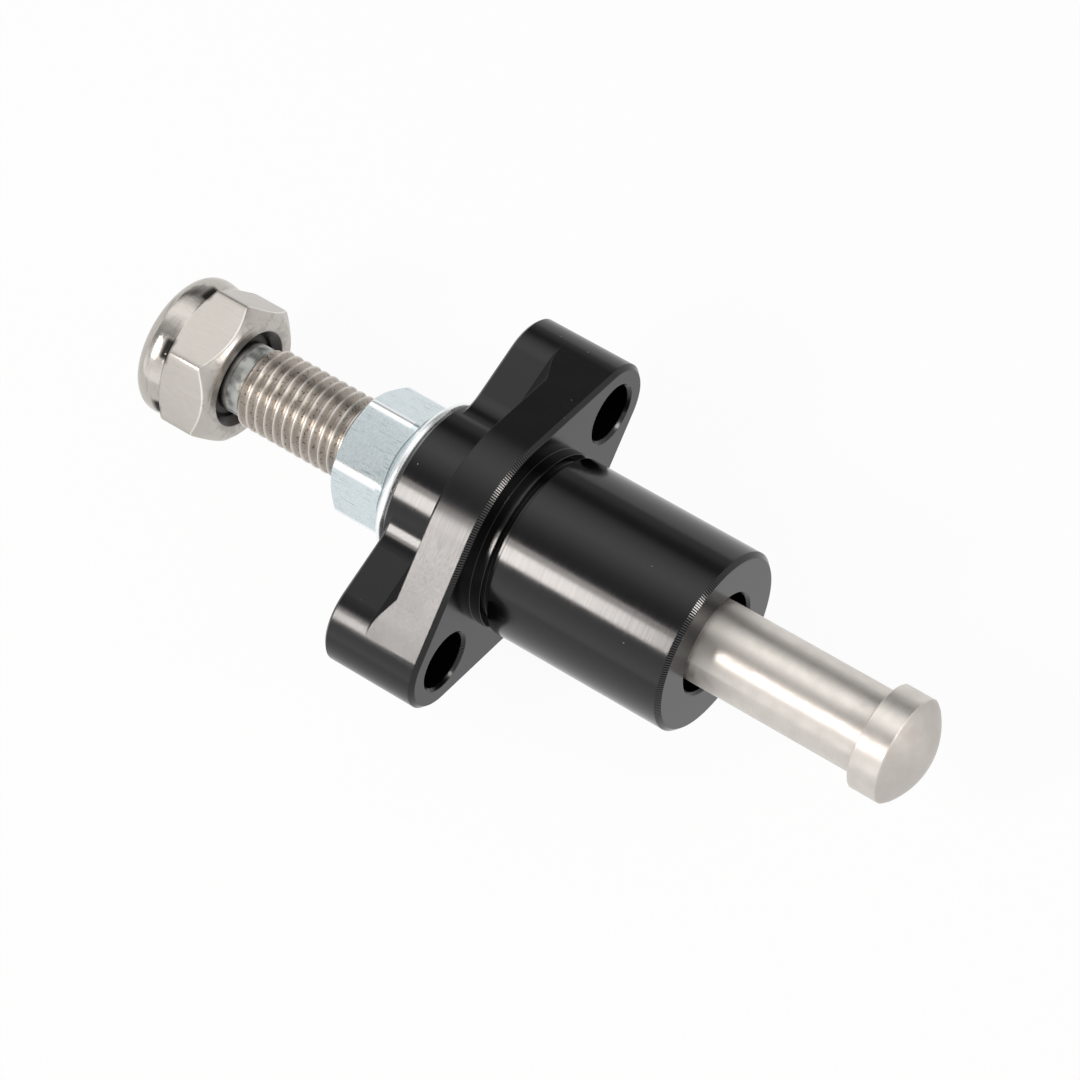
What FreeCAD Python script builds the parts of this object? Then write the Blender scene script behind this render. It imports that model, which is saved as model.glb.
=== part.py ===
"""Cam chain tensioner with a hand-set screw.

Frame: the origin is the centre of the flange's front face, on the axis of the rod.
+X runs along the rod to its domed head, +Y along the line of the two bolt holes.
"""
import FreeCAD, Part
import math
import os
import Sketcher

os.makedirs("parts", exist_ok=True)
doc = FreeCAD.newDocument("tensioner")
Vector = FreeCAD.Vector

# Driving sizes in millimetres, turns in degrees
SIZES = {
    # flange and ears
    "hub_radius": 13.7,
    "ear_radius": 5.9,
    "hole_spacing": 32.8,
    "hole_dia": 6.8,
    "hole_chamfer": 0.35,
    "flange_thickness": 11.9,
    "plate_thickness": 5.4,
    "edge_chamfer": 0.5,
    "ear_chamfer": 0.3,
    "ramp_size": 1.8,
    "corner_radius": 5.0,
    # turned parts of the housing
    "boss_dia": 19.7,
    "boss_length": 12.75,
    "boss_chamfer": 0.45,
    "collar_length": 1.35,
    "groove_width": 1.0,
    "groove_depth": 0.9,
    "barrel_dia": 21.5,
    "barrel_length": 24.7,
    "bore_dia": 11.9,
    "bore_depth": 21.5,
    "bore_chamfer": 0.3,
    # rod
    "thread_dia": 9.8,
    "thread_play": 0.05,
    "rod_reach": 45.3,
    "neck_dia": 8.4,
    "neck_length": 1.5,
    "head_dia": 12.35,
    "head_length": 3.55,
    "dome_rise": 2.5,
    "rod_end_chamfer": 0.8,
    # lock nut
    "lock_across_flats": 14.0,
    "lock_height": 9.05,
    "lock_flange_dia": 19.0,
    "lock_rim": 1.1,
    "lock_cone": 2.6,
    "lock_corner_round": 0.6,
    "lock_turn": 7.5,
    # drive nut
    "nut_gap": 16.65,
    "nut_across_flats": 16.0,
    "nut_hex_height": 6.45,
    "nut_height": 10.3,
    "nut_face_dia": 14.8,
    "nut_collar_dia": 16.7,
    "nut_collar_round": 2.0,
    "nut_corner_round": 0.5,
    "nut_mouth_dia": 11.4,
    "nut_countersink": 0.6,
    "nut_turn": -6.7,
    "insert_dia": 13.6,
    "insert_length": 2.4,
    "insert_from": 6.8,
    # seal ring under the lock nut
    "seal_section": 1.5,
    "seal_room": 0.1,
}

sheet = doc.addObject("Spreadsheet::Sheet", "sizes")
for row, (alias, number) in enumerate(SIZES.items(), start=1):
    sheet.set("A%d" % row, alias.replace("_", " "))
    sheet.set("B%d" % row, str(number))
    sheet.setAlias("B%d" % row, alias)
doc.recompute()


class Size:
    """A number together with the sheet expression that gives it."""

    def __init__(self, value, text):
        self.value = value
        self.text = text

    def join(self, other, sign, value):
        return Size(value, "(%s %s %s)" % (self.text, sign, other.text))

    def __add__(self, other):
        other = as_size(other)
        return self.join(other, "+", self.value + other.value)

    def __sub__(self, other):
        other = as_size(other)
        return self.join(other, "-", self.value - other.value)

    def __mul__(self, other):
        other = as_size(other)
        return self.join(other, "*", self.value * other.value)

    def __truediv__(self, other):
        other = as_size(other)
        return self.join(other, "/", self.value / other.value)

    def __neg__(self):
        return as_size(0.0) - self


def as_size(number):
    """A plain number as a Size; a Size as it is."""
    if isinstance(number, Size):
        return number
    return Size(float(number), repr(float(number)))


def size(alias):
    """The Size of one cell of the sheet."""
    return Size(SIZES[alias], "sizes." + alias)


ZERO = as_size(0.0)


# Helpers for bodies, sketches and features

def new_body(label):
    body = doc.addObject("PartDesign::Body", label)
    body.Label = label
    return body


def origin_plane(body, role):
    """One of the body's own origin planes, found by its role."""
    for item in body.Origin.OriginFeatures:
        if item.Role == role:
            return item
    raise RuntimeError("no plane " + role)


def new_sketch(body, name, role, offset=None):
    """An empty sketch on an origin plane, moved along its normal by offset."""
    sketch = body.newObject("Sketcher::SketchObject", name)
    sketch.AttachmentSupport = [(origin_plane(body, role), "")]
    sketch.MapMode = "FlatFace"
    if offset is not None:
        sketch.AttachmentOffset = FreeCAD.Placement(Vector(0, 0, offset.value), FreeCAD.Rotation())
        sketch.setExpression("AttachmentOffset.Base.z", offset.text)
    return sketch


def drive(sketch, kind, where, amount):
    """Add one size constraint and bind it to the sheet."""
    index = sketch.addConstraint(Sketcher.Constraint(kind, *where, amount.value))
    sketch.setExpression("Constraints[%d]" % index, amount.text)


def pin_point(sketch, element, end, x, y):
    """Hold one point of a sketch at (x, y)."""
    for amount, kind, axis in ((x, "DistanceX", -2), (y, "DistanceY", -1)):
        if amount is ZERO:
            sketch.addConstraint(Sketcher.Constraint("PointOnObject", element, end, axis))
        else:
            drive(sketch, kind, (-1, 1, element, end), amount)


def polygon(sketch, points):
    """A closed outline through points; each is held by its own two sizes."""
    total = len(points)
    for index in range(total):
        (x, y), (x_next, y_next) = points[index], points[(index + 1) % total]
        line = Part.LineSegment(Vector(x.value, y.value, 0), Vector(x_next.value, y_next.value, 0))
        sketch.addGeometry(line, False)
    for index in range(total):
        sketch.addConstraint(Sketcher.Constraint("Coincident", index, 2, (index + 1) % total, 1))
    for index, (x, y) in enumerate(points):
        pin_point(sketch, index, 1, x, y)


def turned(body, name, points, cut=False):
    """Turn an outline of (along, radius) points about the body's X axis."""
    sketch = new_sketch(body, name + "_outline", "XY_Plane")
    polygon(sketch, points)
    doc.recompute()
    feature = body.newObject("PartDesign::Groove" if cut else "PartDesign::Revolution", name)
    feature.Profile = sketch
    feature.ReferenceAxis = (sketch, ["H_Axis"])
    feature.Angle = 360
    doc.recompute()
    return feature


def pad(body, name, sketch, length, backward=True):
    feature = body.newObject("PartDesign::Pad", name)
    feature.Profile = sketch
    feature.Length = length.value
    feature.setExpression("Length", length.text)
    feature.Reversed = backward
    doc.recompute()
    return feature


def chamfer(body, name, base, elements, amount):
    feature = body.newObject("PartDesign::Chamfer", name)
    feature.Base = (base, elements)
    feature.Size = amount.value
    feature.setExpression("Size", amount.text)
    doc.recompute()
    return feature


def fillet(body, name, base, edges, radius):
    feature = body.newObject("PartDesign::Fillet", name)
    feature.Base = (base, edges)
    feature.Radius = radius.value
    feature.setExpression("Radius", radius.text)
    doc.recompute()
    return feature


def face_at(feature, x):
    """The name of the flat face that lies at x, square to the axis."""
    for number, face in enumerate(feature.Shape.Faces, start=1):
        box = face.BoundBox
        if box.XLength < 1e-6 and abs(box.XMin - x) < 1e-6:
            return "Face%d" % number
    raise RuntimeError("no face at %g" % x)


def rims_of(feature, radius, places):
    """The names of the full circles of one radius at the given places along X."""
    names = []
    for number, edge in enumerate(feature.Shape.Edges, start=1):
        is_circle = isinstance(edge.Curve, Part.Circle) and len(edge.Vertexes) == 1
        if is_circle and abs(edge.Curve.Radius - radius) < 1e-6:
            if min(abs(edge.Curve.Center.x - place) for place in places) < 1e-6:
                names.append("Edge%d" % number)
    return names


def lengthwise_edges(feature):
    """The names of the straight edges that run along X."""
    names = []
    for number, edge in enumerate(feature.Shape.Edges, start=1):
        if edge.BoundBox.XLength > 1e-6 and edge.BoundBox.DiagonalLength - edge.BoundBox.XLength < 1e-6:
            names.append("Edge%d" % number)
    return names


def segment(sketch, start, end):
    """A straight line between two (y, z) points."""
    sketch.addGeometry(Part.LineSegment(Vector(*start, 0), Vector(*end, 0)), False)


def arc(centre_y, radius, start, stop, centre_z=0):
    circle = Part.Circle(Vector(centre_y, centre_z, 0), Vector(0, 0, 1), radius)
    return Part.ArcOfCircle(circle, start, stop)


def waist(sketch, outward=ZERO):
    """Both ears and the boss joined by round inside corners, the whole outline moved outward."""
    half = size("hole_spacing") / 2
    ear = size("ear_radius") + outward
    boss = size("boss_dia") / 2 + outward
    corner = size("corner_radius") - outward
    y, small, big, inside = half.value, ear.value, boss.value, corner.value
    across = small + inside
    along = math.sqrt((big + inside) ** 2 - across ** 2)
    lean = math.atan2(across, along)
    quarter = math.pi / 2
    sketch.addGeometry(arc(y, small, -quarter, quarter), False)
    segment(sketch, (y, small), (along, small))
    sketch.addGeometry(arc(along, inside, math.pi + lean, 3 * quarter, across), False)
    sketch.addGeometry(arc(0, big, lean, math.pi - lean), False)
    sketch.addGeometry(arc(-along, inside, 3 * quarter, 2 * math.pi - lean, across), False)
    segment(sketch, (-along, small), (-y, small))
    sketch.addGeometry(arc(-y, small, quarter, 3 * quarter), False)
    segment(sketch, (-y, -small), (-along, -small))
    sketch.addGeometry(arc(-along, inside, lean, quarter, -across), False)
    sketch.addGeometry(arc(0, big, math.pi + lean, 2 * math.pi - lean), False)
    sketch.addGeometry(arc(along, inside, quarter, math.pi - lean, -across), False)
    segment(sketch, (along, -small), (y, -small))

    ears, bosses, lines, corners = (0, 6), (3, 9), (1, 5, 7, 11), (2, 4, 8, 10)
    for step in range(12):
        following = (step + 1) % 12
        leaves = 1 if step in corners else 2
        enters = 2 if following in corners else 1
        sketch.addConstraint(Sketcher.Constraint("Tangent", step, leaves, following, enters))
    for element in lines:
        sketch.addConstraint(Sketcher.Constraint("Horizontal", element))
    for element, centre in zip(ears + bosses, (half, -half, ZERO, ZERO)):
        pin_point(sketch, element, 3, centre, ZERO)
    for elements, radius in ((ears, ear), (bosses, boss), (corners, corner)):
        for element in elements:
            drive(sketch, "Radius", (element,), radius)


def lozenge(sketch):
    """The flange outline: hub arcs and ear arcs joined by straight tangent flanks."""
    half, hub, ear = size("hole_spacing") / 2, size("hub_radius"), size("ear_radius")
    y, big, small = half.value, hub.value, ear.value
    lean = math.acos((big - small) / y)
    hub_y, hub_z = big * math.cos(lean), big * math.sin(lean)
    ear_y, ear_z = y + small * math.cos(lean), small * math.sin(lean)
    first = sketch.GeometryCount
    sketch.addGeometry(arc(y, small, -lean, lean), False)
    segment(sketch, (ear_y, ear_z), (hub_y, hub_z))
    sketch.addGeometry(arc(0, big, lean, math.pi - lean), False)
    segment(sketch, (-hub_y, hub_z), (-ear_y, ear_z))
    sketch.addGeometry(arc(-y, small, math.pi - lean, math.pi + lean), False)
    segment(sketch, (-ear_y, -ear_z), (-hub_y, -hub_z))
    sketch.addGeometry(arc(0, big, math.pi + lean, 2 * math.pi - lean), False)
    segment(sketch, (hub_y, -hub_z), (ear_y, -ear_z))
    for step in range(8):
        sketch.addConstraint(Sketcher.Constraint("Tangent", first + step, 2, first + (step + 1) % 8, 1))
    for element, centre in ((0, half), (2, ZERO), (4, -half), (6, ZERO)):
        pin_point(sketch, first + element, 3, centre, ZERO)
    for element, radius in ((0, ear), (2, hub), (4, ear), (6, hub)):
        drive(sketch, "Radius", (first + element,), radius)


def hexagon(sketch, across_flats):
    """A hexagon with two corners on the sketch's first axis."""
    corner = across_flats / math.sqrt(3)
    half_flat = across_flats / 2
    points = [(corner, ZERO), (corner / 2, half_flat), (-(corner / 2), half_flat),
              (-corner, ZERO), (-(corner / 2), -half_flat), (corner / 2, -half_flat)]
    polygon(sketch, points)


# Values shared by several pieces
thread_radius = size("thread_dia") / 2
tapped_radius = thread_radius + size("thread_play")
seal_section = size("seal_section")
seal_recess_radius = tapped_radius + seal_section
seal_recess_depth = seal_section + size("seal_room")


def make_housing():
    body = new_body("housing")
    plate = size("plate_thickness")
    ramp = size("ramp_size")
    boss = size("boss_dia") / 2
    barrel = size("barrel_dia") / 2
    rear = -size("boss_length")
    front = size("barrel_length")

    # front layer of the flange, with its edge broken all round
    sketch = new_sketch(body, "plate_outline", "YZ_Plane")
    lozenge(sketch)
    feature = pad(body, "plate", sketch, plate)
    chamfer(body, "plate_edge", feature, [face_at(feature, 0.0)], size("edge_chamfer"))

    # sloped inside corner round the ears and the boss, kept inside the flange outline
    sketch = new_sketch(body, "ramp_outline", "YZ_Plane", -plate)
    waist(sketch, ramp)
    feature = pad(body, "ramp", sketch, ramp)
    feature.TaperAngle = -45
    sketch = new_sketch(body, "trim_outline", "YZ_Plane", -plate)
    lozenge(sketch)
    sketch.addGeometry(Part.Circle(Vector(0, 0, 0), Vector(0, 0, 1), 40), False)
    sketch.addConstraint(Sketcher.Constraint("Coincident", 8, 3, -1, 1))
    drive(sketch, "Radius", (8,), size("hole_spacing") + size("hub_radius"))
    doc.recompute()
    feature = body.newObject("PartDesign::Pocket", "ramp_trim")
    feature.Profile = sketch
    feature.Length = ramp.value
    feature.setExpression("Length", ramp.text)
    feature.Reversed = False
    doc.recompute()

    # ears and boss through the full thickness, their rear edge broken
    sketch = new_sketch(body, "ears_outline", "YZ_Plane", -plate)
    waist(sketch)
    thickness = size("flange_thickness")
    feature = pad(body, "ears", sketch, thickness - plate)
    chamfer(body, "ears_edge", feature, [face_at(feature, -thickness.value)], size("ear_chamfer"))

    # boss, collar, groove and barrel in one turned outline
    boss_edge, edge = size("boss_chamfer"), size("edge_chamfer")
    collar = size("collar_length")
    groove_end = collar + size("groove_width")
    groove_radius = barrel - size("groove_depth")
    middle = -(plate / 2)
    turned(body, "turned_body", [
        (rear, ZERO), (rear, boss - boss_edge), (rear + boss_edge, boss),
        (middle, boss), (middle, barrel),
        (collar, barrel), (collar, groove_radius), (groove_end, groove_radius), (groove_end, barrel),
        (front - edge, barrel), (front, barrel - edge), (front, ZERO)])

    # seal recess, tapped hole and bore on the axis
    bore = size("bore_dia") / 2
    bore_edge = size("bore_chamfer")
    recess_floor = rear + seal_recess_depth
    bore_end = front - size("bore_depth")
    turned(body, "bore", [
        (rear, ZERO), (rear, seal_recess_radius), (recess_floor, seal_recess_radius),
        (recess_floor, tapped_radius), (bore_end - (bore - tapped_radius), tapped_radius), (bore_end, bore),
        (front - bore_edge, bore), (front, bore + bore_edge), (front, ZERO)], cut=True)

    # bolt holes with broken mouths
    sketch = new_sketch(body, "bolt_holes_outline", "YZ_Plane")
    half = size("hole_spacing") / 2
    hole = size("hole_dia") / 2
    for index, centre in enumerate((half, -half)):
        sketch.addGeometry(Part.Circle(Vector(centre.value, 0, 0), Vector(0, 0, 1), hole.value), False)
        pin_point(sketch, index, 3, centre, ZERO)
        drive(sketch, "Radius", (index,), hole)
    doc.recompute()
    feature = body.newObject("PartDesign::Pocket", "bolt_holes")
    feature.Profile = sketch
    feature.Length = thickness.value
    feature.setExpression("Length", thickness.text)
    feature.Reversed = False
    doc.recompute()
    rims = rims_of(feature, hole.value, (0.0, -thickness.value))
    chamfer(body, "hole_mouths", feature, rims, size("hole_chamfer"))
    return body


def make_rod():
    """Rod with its own origin at the back of the head."""
    body = new_body("adjuster_rod")
    head = size("head_dia") / 2
    length = size("head_length")
    rise = size("dome_rise")
    neck = size("neck_dia") / 2
    neck_end = -(size("rod_reach") + size("boss_length") + size("lock_height") + size("nut_gap"))
    neck_start = neck_end + size("neck_length")
    end = neck_end - size("nut_height") + size("rod_end_chamfer")
    edge = size("rod_end_chamfer")
    sketch = new_sketch(body, "rod_outline", "XY_Plane")
    points = [
        (end, ZERO), (end, thread_radius - edge), (end + edge, thread_radius), (neck_end, thread_radius),
        (neck_end, neck), (neck_start, neck), (neck_start + (thread_radius - neck), thread_radius),
        (ZERO, thread_radius), (ZERO, head), (length, head), (length + rise, ZERO)]
    total = len(points)
    dome = total - 2
    ball = (head.value ** 2 + rise.value ** 2) / (2 * rise.value)
    for index in range(total):
        (x, y), (x_next, y_next) = points[index], points[(index + 1) % total]
        if index == dome:
            centre = Vector(x_next.value - ball, 0, 0)
            circle = Part.Circle(centre, Vector(0, 0, 1), ball)
            start = math.atan2(y.value, x.value - centre.x)
            sketch.addGeometry(Part.ArcOfCircle(circle, 0.0, start), False)
        else:
            line = Part.LineSegment(Vector(x.value, y.value, 0), Vector(x_next.value, y_next.value, 0))
            sketch.addGeometry(line, False)
    for index in range(total):
        following = (index + 1) % total
        leaves = 1 if index == dome else 2
        enters = 2 if following == dome else 1
        sketch.addConstraint(Sketcher.Constraint("Coincident", index, leaves, following, enters))
    for index, (x, y) in enumerate(points):
        pin_point(sketch, index, 2 if index == dome else 1, x, y)
    sketch.addConstraint(Sketcher.Constraint("PointOnObject", dome, 3, -1))
    doc.recompute()
    feature = body.newObject("PartDesign::Revolution", "rod_turned")
    feature.Profile = sketch
    feature.ReferenceAxis = (sketch, ["H_Axis"])
    feature.Angle = 360
    doc.recompute()
    return body


def make_lock_nut():
    """Flange nut with its own origin on its seat."""
    body = new_body("lock_nut")
    height = size("lock_height")
    flats = size("lock_across_flats")
    rim = size("lock_rim")
    cone = size("lock_cone")
    flange = size("lock_flange_dia") / 2
    sketch = new_sketch(body, "lock_hex_outline", "YZ_Plane")
    hexagon(sketch, flats)
    feature = pad(body, "lock_hex", sketch, height)
    fillet(body, "lock_corners", feature, lengthwise_edges(feature), size("lock_corner_round"))
    soft = rim / 3
    turned(body, "lock_flange", [
        (ZERO, ZERO), (ZERO, flange - soft), (-soft, flange), (-(rim - soft), flange),
        (-rim, flange - soft), (-cone, flats / 2), (-cone, ZERO)])
    face = flats / 2 * 0.96
    outside = flats * 0.75
    turned(body, "lock_hex_edge", [
        (-height, face), (-height, outside), (-height + (outside - face) * 0.5, outside)], cut=True)
    sink = size("nut_countersink")
    turned(body, "lock_thread", [
        (ZERO, ZERO), (ZERO, tapped_radius + sink), (-sink, tapped_radius), (-height + sink, tapped_radius),
        (-height, tapped_radius + sink), (-height, ZERO)], cut=True)
    return body


def make_drive_nut():
    """Self-locking nut with its own origin on its bearing face."""
    body = new_body("drive_nut")
    height = size("nut_height")
    hex_height = size("nut_hex_height")
    flats = size("nut_across_flats")
    collar = size("nut_collar_dia") / 2
    bend = size("nut_collar_round")
    mouth = size("nut_mouth_dia") / 2
    sketch = new_sketch(body, "drive_hex_outline", "YZ_Plane")
    hexagon(sketch, flats)
    feature = pad(body, "drive_hex", sketch, hex_height)
    fillet(body, "drive_corners", feature, lengthwise_edges(feature), size("nut_corner_round"))

    # corners cut back at both ends of the hexagon
    face = size("nut_face_dia") / 2
    outside = flats * 0.75
    turned(body, "drive_hex_edge", [
        (ZERO, face), (ZERO, outside), (-((outside - face) * 0.9), outside)], cut=True)
    shoulder = flats / 2
    turned(body, "drive_hex_back", [
        (-hex_height, shoulder), (-hex_height, outside),
        (-hex_height + (outside - shoulder) * 0.6, outside)], cut=True)

    # collar whose rim is bent over in three even steps
    rim = []
    for step in range(4):
        angle = math.radians(30 * step)
        rim.append((-(height - bend * (1 - math.sin(angle))), collar - bend * (1 - math.cos(angle))))
    turned(body, "drive_collar", [
        (-(hex_height - bend), ZERO), (-(hex_height - bend), mouth),
        (-(hex_height - bend / 4), collar - bend / 4), (-hex_height, collar)] + rim + [(-height, ZERO)])

    # thread, room for the nylon ring, and the open mouth behind it
    sink = size("nut_countersink")
    ring = size("insert_dia") / 2
    ring_start = size("insert_from")
    ring_end = ring_start + size("insert_length")
    turned(body, "drive_thread", [
        (ZERO, ZERO), (ZERO, tapped_radius + sink), (-sink, tapped_radius),
        (-ring_start, tapped_radius), (-ring_start, ring), (-ring_end, ring),
        (-ring_end, mouth), (-height, mouth), (-height, ZERO)], cut=True)
    return body


def make_insert():
    """Nylon ring, in the drive nut's own frame."""
    body = new_body("nut_insert")
    ring = size("insert_dia") / 2
    start = size("insert_from")
    end = start + size("insert_length")
    turned(body, "insert_ring", [
        (-start, tapped_radius), (-start, ring), (-end, ring), (-end, tapped_radius)])
    return body


def make_seal():
    """Square-cut rubber ring with its own origin on its rear face."""
    body = new_body("seal_ring")
    turned(body, "seal_turned", [
        (ZERO, tapped_radius), (ZERO, seal_recess_radius),
        (seal_section, seal_recess_radius), (seal_section, tapped_radius)])
    return body


def place(body, along, turn=None):
    """Move a piece along the axis and turn it about the axis."""
    angle = 0.0 if turn is None else turn.value
    body.Placement = FreeCAD.Placement(Vector(along.value, 0, 0), FreeCAD.Rotation(Vector(1, 0, 0), angle))
    body.setExpression("Placement.Base.x", along.text)
    if turn is not None:
        body.setExpression("Placement.Rotation.Angle", turn.text)


seat = -size("boss_length")
bearing = seat - size("lock_height") - size("nut_gap")
nut_turn = size("nut_turn")

housing = make_housing()
place(housing, ZERO)
rod = make_rod()
place(rod, size("rod_reach"))
lock_nut = make_lock_nut()
place(lock_nut, seat, size("lock_turn"))
drive_nut = make_drive_nut()
place(drive_nut, bearing, nut_turn)
insert = make_insert()
place(insert, bearing, nut_turn)
seal = make_seal()
place(seal, seat + size("seal_room"))
doc.recompute()

# Check every object, then write one file for each piece
for item in doc.Objects:
    if "Invalid" in item.State or "Error" in item.State:
        raise RuntimeError("%s: %s" % (item.Name, item.State))
for body in (housing, rod, lock_nut, drive_nut, insert, seal):
    shape = body.Shape
    if shape.isNull() or not shape.isValid() or len(shape.Solids) != 1:
        raise RuntimeError("bad shape: " + body.Label)
    print(body.Label, "volume", round(shape.Volume, 1))
    shape.exportStep("parts/%s.step" % body.Label)
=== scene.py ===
"""Looks of a hand-set cam chain tensioner: screw thread, nuts, materials, light and camera.

The part's own sizes are in millimetres until a mesh is made; the stage and the camera are in metres.
Angles round the rod count from +Y over the top.
"""
import math

import bmesh
import bpy
import numpy as np
from mathutils import Matrix, Vector


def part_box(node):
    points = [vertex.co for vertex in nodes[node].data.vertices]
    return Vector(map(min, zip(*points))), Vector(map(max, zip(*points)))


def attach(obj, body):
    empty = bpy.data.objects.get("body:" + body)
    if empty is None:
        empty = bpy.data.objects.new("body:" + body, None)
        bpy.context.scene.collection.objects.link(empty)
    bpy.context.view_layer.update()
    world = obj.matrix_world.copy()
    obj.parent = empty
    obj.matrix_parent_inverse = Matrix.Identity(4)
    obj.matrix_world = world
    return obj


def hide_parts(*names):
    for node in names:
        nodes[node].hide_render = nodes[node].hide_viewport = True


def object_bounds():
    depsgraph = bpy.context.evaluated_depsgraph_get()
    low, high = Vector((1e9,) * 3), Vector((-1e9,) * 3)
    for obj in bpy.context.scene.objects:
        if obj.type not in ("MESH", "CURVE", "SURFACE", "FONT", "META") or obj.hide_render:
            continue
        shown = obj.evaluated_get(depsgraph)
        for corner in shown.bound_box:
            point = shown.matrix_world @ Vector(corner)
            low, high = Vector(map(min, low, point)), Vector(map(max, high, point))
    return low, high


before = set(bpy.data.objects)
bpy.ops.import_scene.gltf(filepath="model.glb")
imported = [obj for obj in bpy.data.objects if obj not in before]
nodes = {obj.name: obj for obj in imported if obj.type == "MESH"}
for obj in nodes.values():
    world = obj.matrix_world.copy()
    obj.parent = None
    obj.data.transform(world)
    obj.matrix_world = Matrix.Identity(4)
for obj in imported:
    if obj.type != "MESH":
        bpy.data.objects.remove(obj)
cad_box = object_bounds()
scene = bpy.context.scene
scene.view_settings.view_transform = "Standard"
MM = 0.001


def span(node):
    """Where a node starts and ends along the rod's axis."""
    low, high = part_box(node)
    return low.x / MM, high.x / MM


# Places along the axis and outer radii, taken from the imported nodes
rod_end, rod_tip = span("adjuster_rod")
nut_back, nut_face = span("drive_nut")
lock_back, lock_seat = span("lock_nut")
head_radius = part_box("adjuster_rod")[1].y / MM
flange_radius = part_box("lock_nut")[1].z / MM

# Rod: a neck at the drive nut, a thread, a plain shank and a domed head
ROD_RADIUS = 4.9
ROD_END_EDGE = 0.8
ROD_EDGE = 0.12
NECK_RADIUS = 4.2
NECK_LENGTH = 1.5
NECK_SUNK = 1.2
PITCH = 1.25
THREAD_DEPTH = 0.68
THREAD_START = nut_face + NECK_LENGTH
THREAD_END = 23.5
RUNOUT_TURNS = 1.5
HEAD_LENGTH = 3.55
DOME_RISE = 2.5
DOME_START = rod_tip - DOME_RISE

# Both nuts are tapped for the rod
TAPPED_RADIUS = 4.95

# Lock nut: a hexagon on a sloping flange
LOCK_FLATS = 14.0
LOCK_TURN = 7.5
LOCK_CORNER_SHARPNESS = 34
LOCK_RIM = 1.1
LOCK_CONE = 2.6
LOCK_FACE_RADIUS = LOCK_FLATS / 2 * 0.96
LOCK_CHAMFER = 0.5
LOCK_COUNTERSINK = 0.6
LOCK_EDGE = 0.16

# Drive nut: a hexagon with a rounded collar that holds the nylon ring
NUT_FLATS = 16.0
NUT_TURN = -6.7
NUT_CORNER_SHARPNESS = 46
NUT_HEX = 6.45
HEX_BACK = nut_face - NUT_HEX
NUT_FACE_RADIUS = 7.4
NUT_CHAMFER = 0.9
NUT_REAR_CHAMFER = 0.6
NUT_COUNTERSINK = 1.0
NUT_HOLE_RADIUS = TAPPED_RADIUS + NUT_COUNTERSINK
NUT_COLLAR_RADIUS = 8.35
NUT_BEND = 2.0
NUT_MOUTH_RADIUS = 5.7
NUT_EDGE = 0.22
INSERT_FROM = 6.8
INSERT_LENGTH = 2.4
INSERT_RADIUS = 6.8

# Housing: radii of its turned edges, and how many chatter ribs go round each
BARREL_RADIUS = 10.75
HUB_RADIUS = 13.7
RIBS_ROUND_BARREL = 237
RIBS_ROUND_HUB = 295


# Mesh helpers

def mesh_object(name, points, faces, crease_degrees):
    """A smooth mesh with sharp edges past the crease angle; points are in millimetres."""
    mesh = bpy.data.meshes.new(name)
    mesh.from_pydata([tuple(point) for point in np.asarray(points) * MM], [], faces)
    work = bmesh.new()
    work.from_mesh(mesh)
    bmesh.ops.remove_doubles(work, verts=work.verts, dist=1e-8)
    bmesh.ops.dissolve_degenerate(work, edges=work.edges, dist=1e-9)
    bmesh.ops.recalc_face_normals(work, faces=work.faces)
    work.to_mesh(mesh)
    work.free()
    mesh.shade_smooth()
    mesh.set_sharp_from_angle(angle=math.radians(crease_degrees))
    obj = bpy.data.objects.new(name, mesh)
    scene.collection.objects.link(obj)
    return obj


def ring_points(along, radius, angles):
    """Points of a turned grid; along and radius have one row for each ring."""
    return np.stack([along, radius * np.cos(angles), radius * np.sin(angles)], axis=-1).reshape(-1, 3)


def grid_faces(rows, columns, first=0, closed=False):
    """Quads of a grid that closes round the axis, and on itself lengthwise if asked."""
    faces = []
    for row in range(rows if closed else rows - 1):
        here, after = first + row * columns, first + (row + 1) % rows * columns
        for column in range(columns):
            beside = (column + 1) % columns
            faces.append((here + column, here + beside, after + beside, after + column))
    return faces


def rounded(corners, radius, steps=3, most=0.45):
    """Round the corners of outlines; corners has shape (corner, column, 2) and closes on itself.

    A rounding takes at most the given share of a side, so that two of them never meet.
    """
    before = np.roll(corners, 1, axis=0) - corners
    after = np.roll(corners, -1, axis=0) - corners
    rings = []
    for corner, to_before, to_after in zip(corners, before, after):
        reach_before = np.linalg.norm(to_before, axis=-1, keepdims=True)
        reach_after = np.linalg.norm(to_after, axis=-1, keepdims=True)
        start = corner + to_before * np.minimum(radius / reach_before, most)
        end = corner + to_after * np.minimum(radius / reach_after, most)
        for step in range(steps + 1):
            share = step / steps
            rings.append((1 - share) ** 2 * start + 2 * share * (1 - share) * corner + share ** 2 * end)
    return np.array(rings)


# The rod with its real screw thread

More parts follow.
